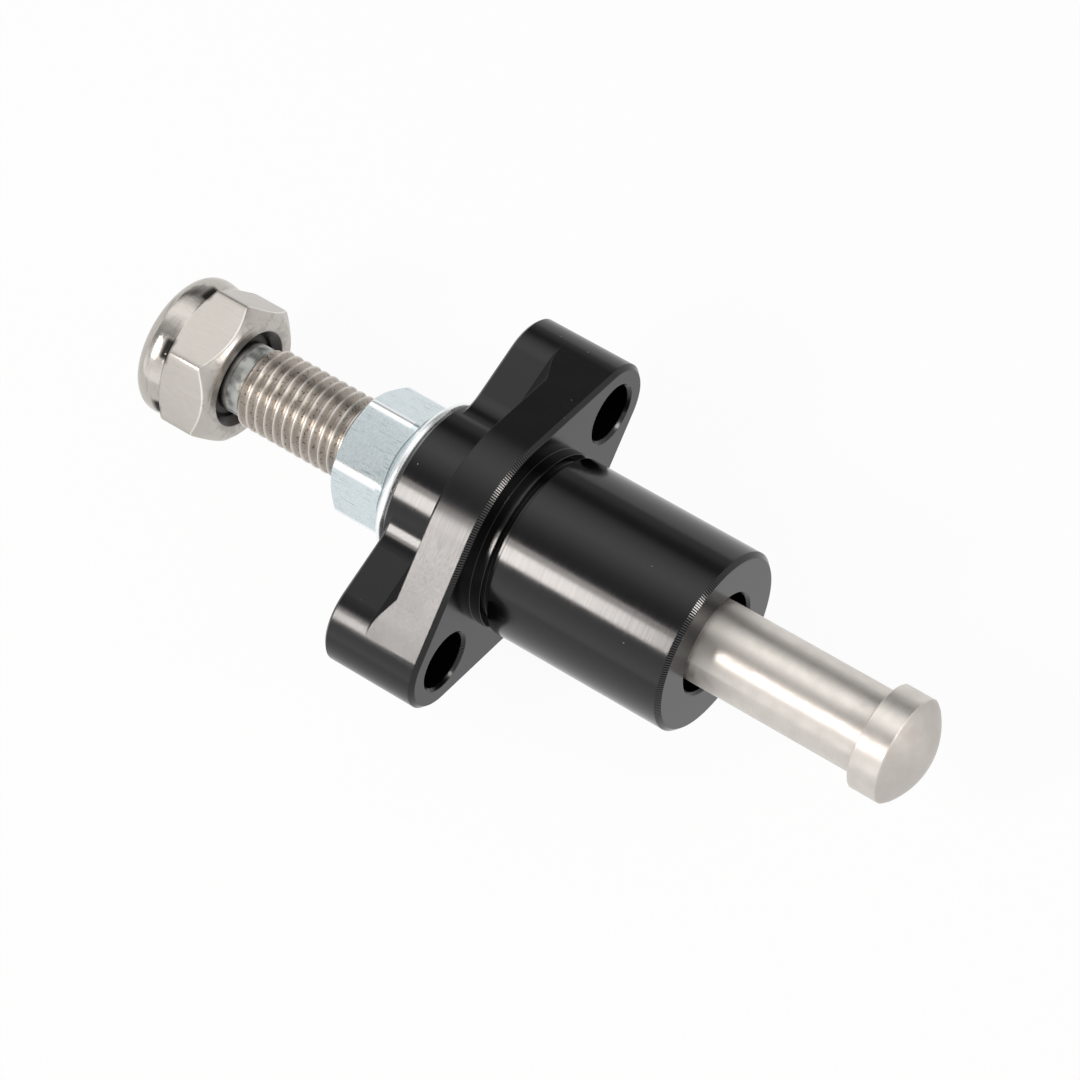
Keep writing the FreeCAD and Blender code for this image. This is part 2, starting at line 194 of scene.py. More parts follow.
def thread_grid(angles):
    """Rows along and radius of a right-hand thread, and how many rows one turn has.

    A row runs one pitch forward in one turn. The profile gives each row's share of the pitch and its
    height, from 0 at the root to 1 at the crest.
    """
    crest_end, root_start, root_end = 0.10, 0.44, 0.62
    crest_round, root_round = 0.03, 0.04
    near_crest, near_root = 0.93, 0.06
    profile = [
        (0.0, 1.0), (crest_end, 1.0), (crest_end + crest_round, near_crest),
        (root_start - root_round, near_root), (root_start, 0.0), (root_end, 0.0),
        (root_end + root_round, near_root), (1 - crest_round, near_crest)]
    turns = int((THREAD_END - THREAD_START) / PITCH) + 3
    share = np.array([place for place, _ in profile])
    height = np.array([rise for _, rise in profile])
    offset = (np.arange(turns)[:, None] + share[None, :]).reshape(-1, 1) * PITCH
    along = THREAD_START - PITCH + offset + PITCH * angles[None, :] / (2 * math.pi)
    along = np.clip(along, THREAD_START, THREAD_END)
    runout = np.clip((THREAD_END - along) / (RUNOUT_TURNS * PITCH), 0, 1)
    depth = THREAD_DEPTH * (1 - np.tile(height, turns))[:, None] * runout
    chamfer = NECK_RADIUS + (along - THREAD_START)
    return along, np.minimum(ROD_RADIUS - depth, chamfer), len(profile)


def thread_faces(rows, columns, per_turn, first):
    """Quads of the thread's grid; the end of each row joins the start of the row one turn on."""
    faces = []
    wrap = per_turn * columns
    for row in range(rows - 1 - per_turn):
        here, after = first + row * columns, first + (row + 1) * columns
        for column in range(columns - 1):
            faces.append((here + column, here + column + 1, after + column + 1, after + column))
        faces.append((here + columns - 1, here + wrap, after + wrap, after + columns - 1))
    return faces


def make_rod():
    """The rod: turned ends and the thread between them, as one closed mesh."""
    columns = 96
    angles = np.arange(columns) * 2 * math.pi / columns
    neck_back = nut_face - NECK_SUNK
    head_back = DOME_START - HEAD_LENGTH
    dome_radius = (head_radius ** 2 + DOME_RISE ** 2) / (2 * DOME_RISE)
    reach = math.asin(head_radius / dome_radius)
    dome_steps = 12

    rear = [(rod_end, 0.0), (rod_end, ROD_RADIUS - ROD_END_EDGE), (rod_end + ROD_END_EDGE, ROD_RADIUS),
            (neck_back - ROD_EDGE, ROD_RADIUS), (neck_back, NECK_RADIUS), (THREAD_START, NECK_RADIUS)]
    front = [(THREAD_END, ROD_RADIUS), (head_back, ROD_RADIUS), (head_back, head_radius - ROD_EDGE),
             (head_back + ROD_EDGE, head_radius), (DOME_START - ROD_EDGE, head_radius)]
    for step in range(1, dome_steps + 1):
        tilt = reach * (1 - step / dome_steps)
        front.append((rod_tip - dome_radius * (1 - math.cos(tilt)), dome_radius * math.sin(tilt)))

    points, faces = [], []
    for outline in (rear, front):
        along = np.repeat([[place] for place, _ in outline], columns, axis=1)
        radius = np.repeat([[size] for _, size in outline], columns, axis=1)
        faces += grid_faces(len(outline), columns, len(points))
        points += list(ring_points(along, radius, angles))
    along, radius, per_turn = thread_grid(angles)
    faces += thread_faces(len(along), columns, per_turn, len(points))
    points += list(ring_points(along, radius, angles))

    rod = mesh_object("rod_with_thread", points, faces, crease_degrees=28)
    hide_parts("adjuster_rod")
    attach(rod, "rod")
    return rod


# Nuts: each column of the mesh is one closed section through the nut at its own angle

def hex_middles(turn):
    """Angles of the middles of a hexagon's sides, whose first corner is at turn."""
    return np.radians(turn + 30 + 60 * np.arange(6))


def hex_columns(turn, per_flat=56):
    """Angles round a hexagon, closer together at its corners, whose first corner is at turn."""
    share = np.linspace(-1, 1, per_flat, endpoint=False)
    sweep = np.radians(30) * np.sin(share * math.pi / 2)
    return (hex_middles(turn)[:, None] + sweep[None, :]).reshape(-1)


def hex_radius(angles, turn, flats, sharpness):
    """Distance to a hexagon's side; a lower sharpness rounds its corners more."""
    turned = np.cos(angles[None, :] - hex_middles(turn)[:, None])
    reach = np.clip(turned, 0, None) / (flats / 2)
    return np.sum(reach ** sharpness, axis=0) ** (-1 / sharpness)


def nut_object(name, sections, angles, edge):
    """A closed ring from corner sections of (along, radius), each a number or one value a column."""
    corners = np.array([[np.broadcast_to(value, angles.shape) for value in corner] for corner in sections])
    rings = rounded(corners.transpose(0, 2, 1), edge)
    points = ring_points(rings[..., 0], rings[..., 1], angles)
    faces = grid_faces(len(rings), len(angles), closed=True)
    return mesh_object(name, points, faces, crease_degrees=60)


def make_lock_nut():
    """The flange lock nut: a thin rounded rim, a sloping flange and a chamfered hexagon."""
    angles = hex_columns(LOCK_TURN)
    side = hex_radius(angles, LOCK_TURN, LOCK_FLATS, LOCK_CORNER_SHARPNESS)
    soft = LOCK_RIM / 3
    rim_radius = flange_radius - soft
    rim_back = lock_seat - LOCK_RIM
    slope = (LOCK_CONE - LOCK_RIM) / (rim_radius - LOCK_FLATS / 2)
    hole = TAPPED_RADIUS + LOCK_COUNTERSINK
    sections = [
        (lock_seat, hole), (lock_seat, rim_radius), (lock_seat - soft, flange_radius),
        (rim_back + soft, flange_radius), (rim_back, rim_radius),
        (rim_back - (rim_radius - side) * slope, side),
        (lock_back + (side - LOCK_FACE_RADIUS) * LOCK_CHAMFER, side),
        (lock_back, LOCK_FACE_RADIUS), (lock_back, hole),
        (lock_back + LOCK_COUNTERSINK, TAPPED_RADIUS), (lock_seat - LOCK_COUNTERSINK, TAPPED_RADIUS)]
    nut = nut_object("flange_lock_nut", sections, angles, LOCK_EDGE)
    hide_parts("lock_nut")
    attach(nut, "lock_nut")
    return nut


def make_drive_nut():
    """The self-locking nut: a chamfered hexagon and a collar that swells, then bends in over its ring."""
    angles = hex_columns(NUT_TURN)
    side = hex_radius(angles, NUT_TURN, NUT_FLATS, NUT_CORNER_SHARPNESS)
    apothem = NUT_FLATS / 2
    # The least steps that keep neighbouring sections apart where the hexagon meets the collar
    least_rise, least_step = 0.02, 0.05
    sections = [
        (nut_face, NUT_HOLE_RADIUS), (nut_face, NUT_FACE_RADIUS),
        (nut_face - (side - NUT_FACE_RADIUS) * NUT_CHAMFER, side),
        (HEX_BACK + np.maximum(side - apothem, least_rise) * NUT_REAR_CHAMFER, side),
        (HEX_BACK - least_step, apothem)]

    swell_length = nut_back + NUT_BEND - HEX_BACK
    swell_rise = NUT_COLLAR_RADIUS - apothem
    swell_steps = 4
    for step in range(1, swell_steps + 1):
        share = step / swell_steps
        rise = math.sin(share * math.pi / 2)
        sections.append((HEX_BACK + swell_length * share, apothem + swell_rise * rise))
    bend_steps = 6
    for step in range(1, bend_steps + 1):
        bend = math.radians(90 / bend_steps * step)
        place = nut_back + NUT_BEND * (1 - math.sin(bend))
        sections.append((place, NUT_COLLAR_RADIUS - NUT_BEND * (1 - math.cos(bend))))

    ring_front = nut_face - INSERT_FROM
    ring_back = ring_front - INSERT_LENGTH
    sections += [
        (nut_back, NUT_MOUTH_RADIUS), (ring_back, NUT_MOUTH_RADIUS), (ring_back, INSERT_RADIUS),
        (ring_front, INSERT_RADIUS), (ring_front, TAPPED_RADIUS), (nut_face - NUT_COUNTERSINK, TAPPED_RADIUS)]
    nut = nut_object("self_locking_nut", sections, angles, NUT_EDGE)
    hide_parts("drive_nut")
    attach(nut, "drive_nut")
    return nut


# Materials

class Shader:
    """A material and a short way to add nodes to it.

    place, x, y, z and radius are the object's own, in millimetres; angle is round the rod, in radians.
    """

    def __init__(self, name):
        self.material = bpy.data.materials.new(name)
        self.material.use_nodes = True
        self.tree = self.material.node_tree
        self.surface = self.tree.nodes["Principled BSDF"]
        scaled = self.add("ShaderNodeVectorMath", operation="SCALE")
        self.link(self.add("ShaderNodeTexCoord").outputs["Object"], scaled.inputs[0])
        scaled.inputs["Scale"].default_value = 1 / MM
        self.place = scaled.outputs[0]
        split = self.add("ShaderNodeSeparateXYZ")
        self.link(self.place, split.inputs[0])
        self.x, self.y, self.z = split.outputs
        squares = self.plus(self.math("POWER", self.y, 2.0), self.math("POWER", self.z, 2.0))
        self.radius = self.math("SQRT", squares)
        self.angle = self.math("ARCTAN2", self.z, self.y)

    def add(self, kind, **settings):
        """A new node of a kind, with its settings."""
        node = self.tree.nodes.new(kind)
        for name, value in settings.items():
            setattr(node, name, value)
        return node

    def link(self, source, target):
        """Lead a node's output into a socket."""
        self.tree.links.new(source, target)

    def feed(self, socket, value):
        """Set a socket from a number, a colour or another node's output."""
        if isinstance(value, bpy.types.NodeSocket):
            self.link(value, socket)
        else:
            socket.default_value = value

    def math(self, operation, first, second=0.0, third=0.0):
        """The result of a sum on numbers or outputs."""
        node = self.add("ShaderNodeMath", operation=operation)
        for socket, value in zip(node.inputs, (first, second, third)):
            self.feed(socket, value)
        return node.outputs[0]

    def plus(self, first, second):
        return self.math("ADD", first, second)

    def minus(self, first, second):
        return self.math("SUBTRACT", first, second)

    def times(self, first, second):
        return self.math("MULTIPLY", first, second)

    def average(self, first, second):
        return self.times(self.plus(first, second), 0.5)

    def span(self, value, low, high):
        """Map a 0 to 1 value onto low to high."""
        return self.math("MULTIPLY_ADD", value, high - low, low)

    def between(self, value, low, high):
        """Map value smoothly from 0 at low to 1 at high; low may be the larger of the two."""
        node = self.add("ShaderNodeMapRange", interpolation_type="SMOOTHSTEP")
        self.feed(node.inputs["Value"], value)
        node.inputs["From Min"].default_value = low
        node.inputs["From Max"].default_value = high
        return node.outputs["Result"]

    def window(self, value, start, full, fading, end):
        """1 where value lies from full to fading, and smoothly down to 0 at start and at end."""
        return self.times(self.between(value, start, full), self.between(value, end, fading))

    def join(self, x, y, z):
        """One vector from three numbers or outputs."""
        node = self.add("ShaderNodeCombineXYZ")
        for socket, value in zip(node.inputs, (x, y, z)):
            self.feed(socket, value)
        return node.outputs[0]

    def noise(self, where, scale, detail=3.0, roughness=0.55):
        """Cloudy noise from about 0 to 1."""
        node = self.add("ShaderNodeTexNoise")
        self.feed(node.inputs["Vector"], where)
        node.inputs["Scale"].default_value = scale
        node.inputs["Detail"].default_value = detail
        node.inputs["Roughness"].default_value = roughness
        return node.outputs["Fac"]

    def stretched_noise(self, *parts, detail, roughness=0.55):
        """Noise that is finer one way than another; each of three parts is a coordinate and its scale."""
        where = self.join(*(self.times(value, scale) for value, scale in parts))
        return self.noise(where, 1.0, detail, roughness)

    def specks(self, scale, size):
        """1 on small scattered dots and 0 elsewhere."""
        node = self.add("ShaderNodeTexVoronoi")
        self.feed(node.inputs["Vector"], self.place)
        node.inputs["Scale"].default_value = scale
        return self.math("LESS_THAN", node.outputs["Distance"], size)

    def mix(self, share, first, second):
        """A colour between two; 6 and 7 are the node's colour inputs and 2 its colour output."""
        node = self.add("ShaderNodeMix", data_type="RGBA")
        self.feed(node.inputs["Factor"], share)
        for socket, value in ((node.inputs[6], first), (node.inputs[7], second)):
            self.feed(socket, value if isinstance(value, bpy.types.NodeSocket) else (*value, 1.0))
        return node.outputs[2]

    def tint(self, colour, mask, strength, other):
        """Lay another colour over a colour where mask is 1, at a strength."""
        return self.mix(self.times(mask, strength), colour, other)

    def outside_hex(self, flats, turn):
        """How far a place lies outside a hexagon about the rod, square to its sides, in millimetres."""
        furthest = None
        for side in range(3):
            angle = math.radians(turn + 30 + 60 * side)
            reach = self.add("ShaderNodeVectorMath", operation="DOT_PRODUCT")
            self.feed(reach.inputs[0], self.place)
            reach.inputs[1].default_value = (0, math.cos(angle), math.sin(angle))
            reach = self.math("ABSOLUTE", reach.outputs["Value"])
            furthest = reach if furthest is None else self.math("MAXIMUM", furthest, reach)
        return self.minus(furthest, flats / 2)

    def soft_edges(self, radius):
        """The surface's direction with its edges broken by a small radius, in millimetres."""
        node = self.add("ShaderNodeBevel", samples=6)
        node.inputs["Radius"].default_value = radius * MM
        return node.outputs["Normal"]

    def bump(self, height, depth, after=None):
        """Raise the surface by height times depth, in millimetres."""
        node = self.add("ShaderNodeBump")
        node.inputs["Strength"].default_value = 1.0
        node.inputs["Distance"].default_value = depth * MM
        self.feed(node.inputs["Height"], height)
        if after is not None:
            self.link(after, node.inputs["Normal"])
        return node.outputs["Normal"]

    def finish(self, colour, roughness, normal, **fixed):
        """Lead the results into the surface, with sockets of one value named with underscores."""
        self.feed(self.surface.inputs["Base Color"], colour)
        self.feed(self.surface.inputs["Roughness"], roughness)
        self.link(normal, self.surface.inputs["Normal"])
        for name, value in fixed.items():
            self.surface.inputs[name.replace("_", " ")].default_value = value
        return self.material


# Painted shade: a near black for the dark gap between the rod and the mouth of the drive nut
HOLE_SHADE = (0.02, 0.018, 0.017)


def black_anodised():
    """Machined and black anodised: turning lines, milled flange sides, chatter ribs on the broken edges."""
    skin = Shader("black_anodised")
    radius, angle = skin.radius, skin.angle
    black, thin_black, dust_grey = (0.001, 0.001, 0.0011), (0.0026, 0.0026, 0.0028), (0.3, 0.29, 0.28)

    lines = skin.stretched_noise((skin.x, 7.0), (radius, 7.0), (angle, 0.8), detail=3.0, roughness=0.6)
    grain = skin.noise(skin.place, 7.0, 3.0, 0.6)
    cloud = skin.noise(skin.place, 0.35)
    dust = skin.times(skin.specks(0.4, 0.03), skin.between(skin.noise(skin.place, 0.2, 1.0), 0.45, 0.6))
    on_flange = skin.between(radius, BARREL_RADIUS + 0.2, BARREL_RADIUS + 0.6)

    # Ribs lie on edges that face forward at about 45 degrees, no further out than the hub's
    split = skin.add("ShaderNodeSeparateXYZ")
    skin.link(skin.add("ShaderNodeNewGeometry").outputs["True Normal"], split.inputs[0])
    on_edge = skin.window(split.outputs["X"], 0.55, 0.65, 0.76, 0.86)
    on_edge = skin.times(on_edge, skin.between(radius, HUB_RADIUS + 0.8, HUB_RADIUS + 0.3))
    on_hub = skin.between(radius, BARREL_RADIUS + 1.0, BARREL_RADIUS + 1.2)
    ribs_round = skin.span(on_hub, RIBS_ROUND_BARREL, RIBS_ROUND_HUB)
    ribs = skin.times(skin.math("SINE", skin.times(angle, ribs_round)), on_edge)

    colour = skin.mix(cloud, black, thin_black)
    colour = skin.mix(dust, colour, dust_grey)
    roughness = skin.span(skin.average(skin.between(lines, 0.3, 0.7), cloud), 0.1, 0.2)
    roughness = skin.plus(roughness, skin.times(on_flange, 0.06))
    normal = skin.bump(lines, 0.0019, skin.soft_edges(0.14))
    normal = skin.bump(skin.times(grain, on_flange), 0.0016, normal)
    normal = skin.bump(ribs, 0.002, normal)
    # Ribs swing from -1 to 1, so their gloss swings about the usual level of 0.5
    skin.link(skin.span(ribs, 0.5, 1.0), skin.surface.inputs["Specular IOR Level"])
    return skin.finish(colour, roughness, normal, IOR=1.45)


def turned_stainless():
    """Turned rod: fine rings that stretch its reflections lengthwise, dull grooves in the thread with painted
    shade and dirt, a painted highlight on the neck, painted shade inside the nut.
    """
    skin = Shader("turned_stainless")
    x = skin.x
    steel, pale_steel, dome_steel = (0.64, 0.6, 0.558), (0.745, 0.705, 0.663), (0.5, 0.475, 0.45)
    thread_shade_brown, dirt_black = (0.43, 0.382, 0.332), (0.05, 0.045, 0.04)
    neck_highlight, neck_grey = (0.76, 0.78, 0.76), (0.26, 0.26, 0.25)

    rings = skin.stretched_noise((x, 7.0), (skin.y, 0.3), (skin.z, 0.3), detail=4.0, roughness=0.6)
    cloud = skin.noise(skin.place, 0.6)
    on_thread = skin.window(x, THREAD_START, THREAD_START + 0.1, THREAD_END - 1.0, THREAD_END)
    groove = skin.times(skin.between(skin.radius, ROD_RADIUS - 0.06, ROD_RADIUS - 0.2), on_thread)
    dirt = skin.times(skin.between(skin.noise(skin.place, 3.2, 2.0), 0.6, 0.66), groove)
    on_neck = skin.window(x, nut_face - 0.2, nut_face, THREAD_START, THREAD_START + 0.1)
    neck_dirt = skin.between(skin.noise(skin.place, 0.8, 3.0, 0.5), 0.4, 0.75)
    # Painted shade on the rod where it runs inside the drive nut
    nut_shade_on_rod = skin.window(x, nut_face - 4.0, nut_face - 3.0, nut_face - 0.8, nut_face - 0.2)
    on_dome = skin.between(x, DOME_START - 0.2, DOME_START + 0.1)

    colour = skin.mix(rings, steel, pale_steel)
    # Painted shade: brown on the thread below its crests, over its flanks and roots
    colour = skin.tint(colour, groove, 0.85, thread_shade_brown)
    colour = skin.tint(colour, dirt, 0.8, dirt_black)
    # Painted highlight on the neck: a pale bluish colour, broken by grey dirt
    colour = skin.tint(colour, on_neck, 0.9, skin.mix(neck_dirt, neck_highlight, neck_grey))
    colour = skin.tint(colour, nut_shade_on_rod, 0.95, HOLE_SHADE)
    colour = skin.tint(colour, on_dome, 0.8, dome_steel)
    roughness = skin.span(skin.average(rings, skin.between(cloud, 0.3, 0.7)), 0.36, 0.58)
    roughness = skin.plus(roughness, skin.times(skin.plus(on_dome, on_neck), 0.2))
    normal = skin.bump(skin.times(cloud, on_neck), 0.15, skin.bump(rings, 0.003))
    tangent = skin.add("ShaderNodeTangent", direction_type="RADIAL", axis="X")
    skin.link(tangent.outputs[0], skin.surface.inputs["Tangent"])
    skin.link(skin.span(on_dome, 0.85, 0.15), skin.surface.inputs["Anisotropic"])
    return skin.finish(colour, roughness, normal, Metallic=1.0, Anisotropic_Rotation=0.25)


def zinc_plate():
    """Bright bluish zinc: fine grain, scratches, corners pale from wear and a painted highlight, a painted
    highlight on the rim, a dull dip of painted shade round the hexagon's foot.
    """
    skin = Shader("zinc_plate")
    x, radius = skin.x, skin.radius
    zinc, pale_zinc, wear_and_highlight_zinc = (0.61, 0.69, 0.72), (0.69, 0.76, 0.785), (0.93, 0.95, 0.96)
    scratch_grey, foot_shade_grey = (0.26, 0.3, 0.32), (0.12, 0.135, 0.14)

    grain = skin.noise(skin.place, 4.0, 4.0, 0.6)
    bloom = skin.noise(skin.place, 0.4, 2.0)
    scratch = skin.stretched_noise((x, 0.5), (skin.y, 7.0), (skin.z, 7.0), detail=2.0)
    scratch = skin.times(skin.between(scratch, 0.57, 0.64), skin.between(bloom, 0.42, 0.55))
    rim_back = lock_seat - LOCK_RIM
    cone_back = lock_seat - LOCK_CONE
    # Painted shade on the sloping flange just outside the hexagon's foot
    foot_shade = skin.window(skin.outside_hex(LOCK_FLATS, LOCK_TURN), 0.02, 0.1, 0.55, 0.95)
    foot_shade = skin.times(foot_shade, skin.between(x, rim_back, rim_back - 0.2))
    corner = LOCK_FLATS / 2 / math.cos(math.radians(30))
    on_flange = skin.between(x, cone_back - 0.2, cone_back)
    # Pale corners: partly worn plating, partly a painted highlight on the rounded corners
    wear_and_highlight = skin.times(skin.between(radius, corner - 0.36, corner - 0.24), skin.between(on_flange, 0.5, 0.1))
    # Painted highlight: the flange's rounded rim made pale
    rim = skin.between(radius, flange_radius - 0.75, flange_radius - 0.45)

    colour = skin.mix(skin.between(grain, 0.3, 0.7), zinc, pale_zinc)
    colour = skin.tint(colour, scratch, 0.5, scratch_grey)
    colour = skin.mix(skin.math("MAXIMUM", wear_and_highlight, rim), colour, wear_and_highlight_zinc)
    colour = skin.tint(colour, foot_shade, 0.8, foot_shade_grey)
    roughness = skin.span(grain, 0.22, 0.34)
    return skin.finish(colour, roughness, skin.bump(grain, 0.0015), Metallic=0.95)


def polished_stainless():
    """Tumbled bright nut: drawn flats, painted shade on the collar below the corners, a face darker brown in
    patches towards the hole, a painted highlight round the flats' ends, painted shade in the hole.
    """
    skin = Shader("polished_stainless")
    x, radius, angle = skin.x, skin.radius, skin.angle
    steel, pale_steel, highlight_line = (0.45, 0.42, 0.388), (0.53, 0.5, 0.464), (0.95, 0.92, 0.88)
    darker_patch_brown, streak_grey, corner_shade_black = (0.2, 0.18, 0.165), (0.13, 0.12, 0.11), (0.006, 0.0055, 0.005)

    wave = skin.noise(skin.place, 0.5, 2.0)
    draw = skin.stretched_noise((x, 0.9), (skin.y, 4.0), (skin.z, 4.0), detail=3.0)
    blotches = skin.noise(skin.place, 0.9, 3.0, 0.6)
    on_hex = skin.between(x, HEX_BACK, HEX_BACK + 0.3)
    # Painted shade in the countersink and hole round the rod
    hole_shade = skin.between(radius, NUT_HOLE_RADIUS + 0.05, NUT_HOLE_RADIUS - 0.12)

    near_hole = skin.between(radius, NUT_FACE_RADIUS, NUT_HOLE_RADIUS)
    # Darker brown patches on the face and the cone, more of them towards the hole
    darker_patch = skin.between(skin.plus(blotches, skin.times(near_hole, 0.18)), 0.5, 0.75)
    darker_patch = skin.times(darker_patch, skin.between(x, nut_face - 1.4, nut_face - 0.3))

    to_corner = skin.math("COSINE", skin.times(skin.minus(angle, math.radians(NUT_TURN)), 6.0))
    # Painted shade where the hexagon's corners run into the collar: near black, and duller
    corner_shade = skin.window(x, HEX_BACK - 1.3, HEX_BACK - 0.5, HEX_BACK + 0.2, HEX_BACK + 0.9)
    corner_shade = skin.times(corner_shade, skin.between(to_corner, 0.3, 0.8))
    corner_shade = skin.times(corner_shade, skin.between(blotches, 0.15, 0.35))
    streak = skin.noise(skin.join(skin.times(x, 2.0), skin.times(angle, 3.0), 0.0), 0.8)
    streak = skin.times(skin.between(streak, 0.5, 0.75), skin.between(on_hex, 0.6, 0.2))

    # Painted highlight: a bright line round the end of each flat, just inside the cone that breaks the
    # corners
    cone = skin.math("MULTIPLY_ADD", x, -1 / NUT_CHAMFER, NUT_FACE_RADIUS + nut_face / NUT_CHAMFER)
    flat_end_highlight = skin.window(skin.minus(cone, radius), 0.01, 0.05, 0.12, 0.2)
    flat_end_highlight = skin.times(flat_end_highlight, skin.between(x, nut_face - 0.1, nut_face - 0.3))

    colour = skin.mix(draw, steel, pale_steel)
    colour = skin.tint(colour, darker_patch, 0.45, darker_patch_brown)
    colour = skin.tint(colour, flat_end_highlight, 0.5, highlight_line)
    colour = skin.tint(colour, streak, 0.4, streak_grey)
    colour = skin.tint(colour, corner_shade, 0.95, corner_shade_black)
    colour = skin.tint(colour, hole_shade, 0.95, HOLE_SHADE)
    roughness = skin.span(skin.average(draw, wave), 0.12, 0.22)
    roughness = skin.plus(roughness, skin.times(on_hex, 0.14))
    roughness = skin.plus(roughness, skin.times(corner_shade, 0.45))
    normal = skin.bump(draw, 0.004, skin.bump(wave, 0.05))
    return skin.finish(colour, roughness, normal, Metallic=1.0)


def nylon():
    """Natural nylon ring, slightly translucent and waxy."""
    skin = Shader("nylon")
    cloud = skin.noise(skin.place, 1.2)
    colour = skin.mix(cloud, (0.72, 0.74, 0.75), (0.82, 0.84, 0.85))
    return skin.finish(colour, skin.span(cloud, 0.4, 0.55), skin.bump(cloud, 0.02), Subsurface_Weight=0.15)


def seal_rubber():
    """Moulded rubber seal with a fine bloom."""
    skin = Shader("seal_rubber")
    grain = skin.noise(skin.place, 5.0, 4.0)
    colour = skin.mix(grain, (0.018, 0.018, 0.018), (0.035, 0.035, 0.035))
    return skin.finish(colour, skin.span(grain, 0.55, 0.75), skin.bump(grain, 0.01))


def coat(obj, material):
    """Give an object one material."""
    obj.data.materials.clear()
    obj.data.materials.append(material)


coat(nodes["housing"], black_anodised())
coat(nodes["nut_insert"], nylon())
coat(nodes["seal_ring"], seal_rubber())
coat(make_rod(), turned_stainless())
coat(make_lock_nut(), zinc_plate())
coat(make_drive_nut(), polished_stainless())


# Floor, studio tent, lamps and camera, in metres

SEEN_RAYS = ("Is Camera Ray", "Is Glossy Ray", "Is Transmission Ray")
FLOOR_SIZE = 3.0
FLOOR_GAP = 0.0002
FLOOR_GLOW = 0.95
WORLD_FILL = 0.45
TENT_RADIUS = 0.6
TENT_ENDS = (-0.9, 0.5)
TENT_STEPS = 44
TENT_BRIGHTEST = 1.6
# Degrees round the rod, and how bright the tent is there
TENT_TONES = [
    (-20, 0.5), (10, 0.48), (19, 0.22), (28, 0.19), (42, 0.95), (56, 1.45), (66, 1.55), (78, 1.18),
    (92, 0.62), (102, 0.4), (116, 0.42), (140, 0.85), (155, 1.15), (173, 1.45), (187, 1.35), (200, 0.85)]
LAMP_DISTANCE = 0.4
HALO_SETBACK = 0.005
# Where along the rod's axis a lamp has to be for the barrel to reflect it to the camera
REFLECTED_PLACE = -0.16
WARM = (1.0, 0.95, 0.91)


def ray_share(tree, kinds):
    """1 where the ray is of one of the kinds of Light Path, else 0."""
    path = tree.nodes.new("ShaderNodeLightPath")
    total = path.outputs[kinds[0]]
    for kind in kinds[1:]:
        node = tree.nodes.new("ShaderNodeMath")
        node.operation = "MAXIMUM"
        tree.links.new(total, node.inputs[0])
        tree.links.new(path.outputs[kind], node.inputs[1])
        total = node.outputs[0]
    return total


def make_floor():
    """A white floor under the part that keeps a faint shadow of it."""
    mesh = bpy.data.meshes.new("floor")
    height = cad_box[0].z - FLOOR_GAP
    corners = [(x * FLOOR_SIZE, y * FLOOR_SIZE, height) for x, y in ((-1, -1), (1, -1), (1, 1), (-1, 1))]
    mesh.from_pydata(corners, [], [(0, 1, 2, 3)])
    floor = bpy.data.objects.new("floor", mesh)
    scene.collection.objects.link(floor)

    material = bpy.data.materials.new("floor_white")
    material.use_nodes = True
    tree = material.node_tree
    surface = tree.nodes["Principled BSDF"]
    surface.inputs["Base Color"].default_value = (0.85, 0.85, 0.85, 1)
    surface.inputs["Roughness"].default_value = 0.9
    surface.inputs["Specular IOR Level"].default_value = 0.0
    glow = tree.nodes.new("ShaderNodeEmission")
    mix = tree.nodes.new("ShaderNodeMixShader")
    share = tree.nodes.new("ShaderNodeMath")
    share.operation = "MULTIPLY"
    share.inputs[1].default_value = FLOOR_GLOW
    tree.links.new(ray_share(tree, SEEN_RAYS), share.inputs[0])
    tree.links.new(share.outputs[0], mix.inputs["Fac"])
    tree.links.new(surface.outputs[0], mix.inputs[1])
    tree.links.new(glow.outputs[0], mix.inputs[2])
    tree.links.new(mix.outputs[0], tree.nodes["Material Output"].inputs["Surface"])
    floor.data.materials.append(material)


def make_world():
    """White where it is seen or mirrored, dimmer as light on the part."""
    world = bpy.data.worlds.new("studio")
    scene.world = world
    world.use_nodes = True
    tree = world.node_tree
    shade = tree.nodes["Background"]
    shade.inputs["Color"].default_value = (1, 1, 1, 1)
    strength = tree.nodes.new("ShaderNodeMapRange")
    strength.inputs["To Min"].default_value = WORLD_FILL
    strength.inputs["To Max"].default_value = 1.0
    tree.links.new(ray_share(tree, SEEN_RAYS), strength.inputs["Value"])
    tree.links.new(strength.outputs["Result"], shade.inputs["Strength"])


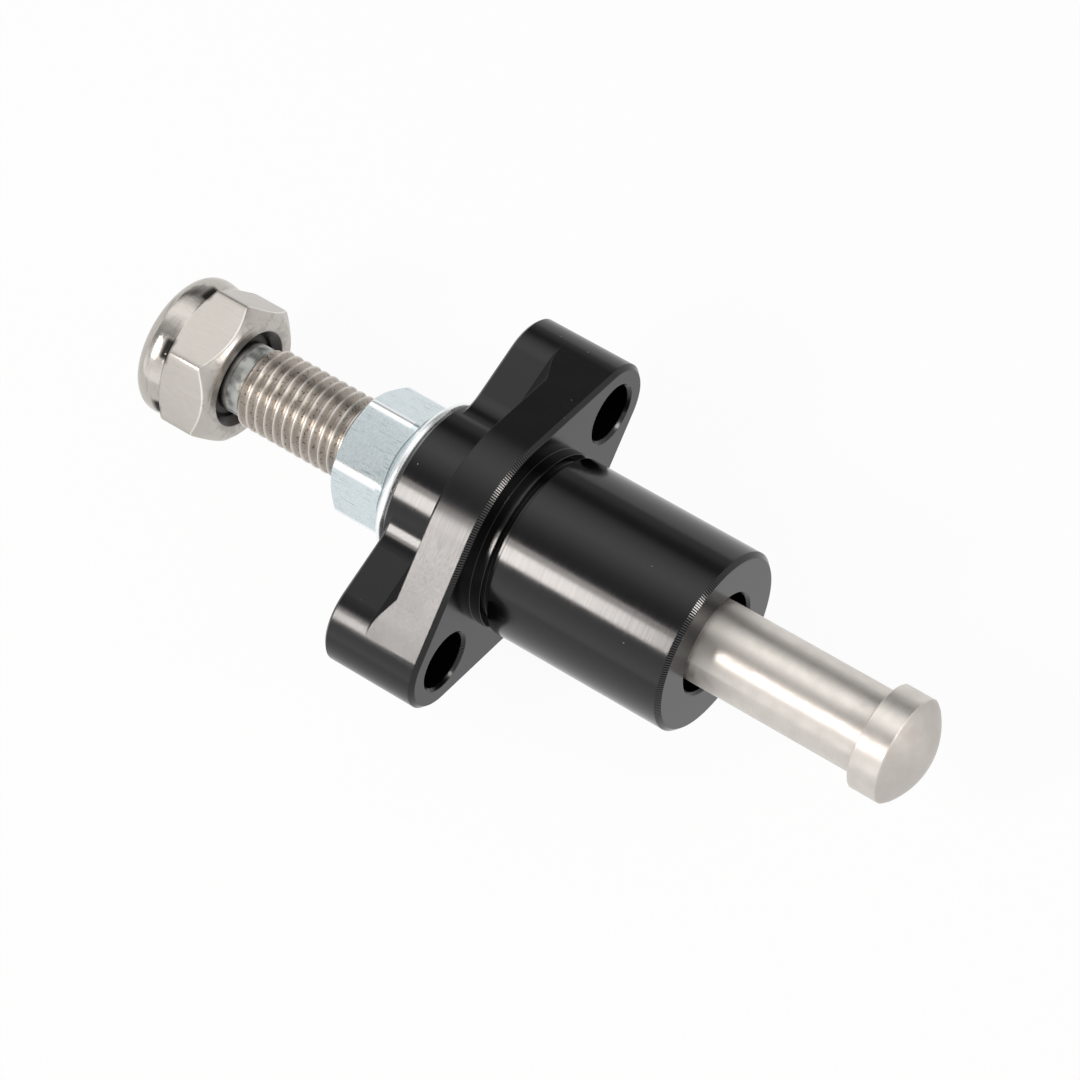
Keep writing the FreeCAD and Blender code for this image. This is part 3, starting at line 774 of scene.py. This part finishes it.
def make_tent():
    """A long tunnel of soft light, open below, that glossy surfaces reflect and the camera doesn't see."""
    first, last = TENT_TONES[0][0], TENT_TONES[-1][0]
    points = []
    for step in range(TENT_STEPS + 1):
        angle = math.radians(first + (last - first) * step / TENT_STEPS)
        for end in TENT_ENDS:
            points.append((end, TENT_RADIUS * math.cos(angle), TENT_RADIUS * math.sin(angle)))
    faces = [(2 * step, 2 * step + 1, 2 * step + 3, 2 * step + 2) for step in range(TENT_STEPS)]
    mesh = bpy.data.meshes.new("light_tent")
    mesh.from_pydata(points, [], faces)
    tent = bpy.data.objects.new("light_tent", mesh)
    tent.visible_camera = False
    tent.visible_diffuse = False
    tent.visible_shadow = False
    scene.collection.objects.link(tent)

    skin = Shader("light_tent")
    # Degrees counted from straight below, so that the count has no jump inside the tent
    from_below = skin.math("MODULO", skin.plus(skin.angle, 2.5 * math.pi), 2 * math.pi)
    from_below = skin.math("DIVIDE", from_below, math.radians(1))
    where = skin.math("DIVIDE", skin.minus(from_below, 90 + first), last - first)
    ramp = skin.add("ShaderNodeValToRGB")
    stops = ramp.color_ramp.elements
    stops.remove(stops[0])
    for degrees, tone in TENT_TONES:
        place = (degrees - first) / (last - first)
        stop = stops[-1] if degrees == last else stops.new(place)
        stop.color = (tone / TENT_BRIGHTEST,) * 3 + (1,)
    skin.link(where, ramp.inputs["Fac"])
    glow = skin.add("ShaderNodeEmission")
    skin.link(ramp.outputs["Color"], glow.inputs["Color"])
    glow.inputs["Strength"].default_value = TENT_BRIGHTEST
    skin.link(glow.outputs[0], skin.tree.nodes["Material Output"].inputs["Surface"])
    tent.data.materials.append(skin.material)


def on_arc(degrees, distance):
    """A point at a distance from the rod's axis, at an angle round it."""
    angle = math.radians(degrees)
    return Vector((REFLECTED_PLACE, distance * math.cos(angle), distance * math.sin(angle)))


def facing(point):
    """The turn of a lamp at point that faces the origin, with its length along the rod."""
    outward = Vector(point).normalized()
    along = Vector((1, 0, 0))
    across = outward.cross(along).normalized()
    return Matrix((across.cross(outward), across, outward)).transposed().to_4x4()


def make_lamp(name, point, radiance, length, width):
    """A warm soft box of even brightness that faces the part."""
    light = bpy.data.lights.new(name, "AREA")
    light.shape = "RECTANGLE"
    light.size, light.size_y = length, width
    light.energy = radiance * math.pi * length * width
    light.color = WARM
    lamp = bpy.data.objects.new(name, light)
    lamp.matrix_world = Matrix.Translation(point) @ facing(point)
    lamp.visible_camera = False
    scene.collection.objects.link(lamp)


def make_camera():
    """A long lens at the photograph's viewing angle."""
    azimuth, elevation, roll = math.radians(63.18), math.radians(65.206), math.radians(-31.362)
    aim = Vector((1.051, 0.461, -0.518)) * MM
    distance = 492.13 * MM
    back = Vector((math.sin(azimuth) * math.cos(elevation),
                   -math.cos(azimuth) * math.cos(elevation),
                   math.sin(elevation)))
    level = Vector((math.cos(azimuth), math.sin(azimuth), 0))
    upright = back.cross(level)
    right = level * math.cos(roll) + upright * math.sin(roll)
    up = upright * math.cos(roll) - level * math.sin(roll)
    data = bpy.data.cameras.new("camera")
    data.sensor_width = 36.0
    data.lens = 151.905
    data.clip_start, data.clip_end = 0.01, 10.0
    camera = bpy.data.objects.new("camera", data)
    turn = Matrix((right, up, back)).transposed().to_4x4()
    camera.matrix_world = Matrix.Translation(aim + back * distance) @ turn
    scene.collection.objects.link(camera)
    scene.camera = camera


make_floor()
make_world()
make_tent()
make_lamp("key_core", on_arc(130.3, LAMP_DISTANCE), radiance=17.0, length=0.08, width=0.125)
make_lamp("key_halo", on_arc(127, LAMP_DISTANCE + HALO_SETBACK), radiance=8.0, length=0.08, width=0.2)
make_lamp("front_box", Vector((0.405, 0.105, 0.165)), radiance=19.0, length=0.08, width=0.08)
make_camera()

bpy.context.view_layer.update()
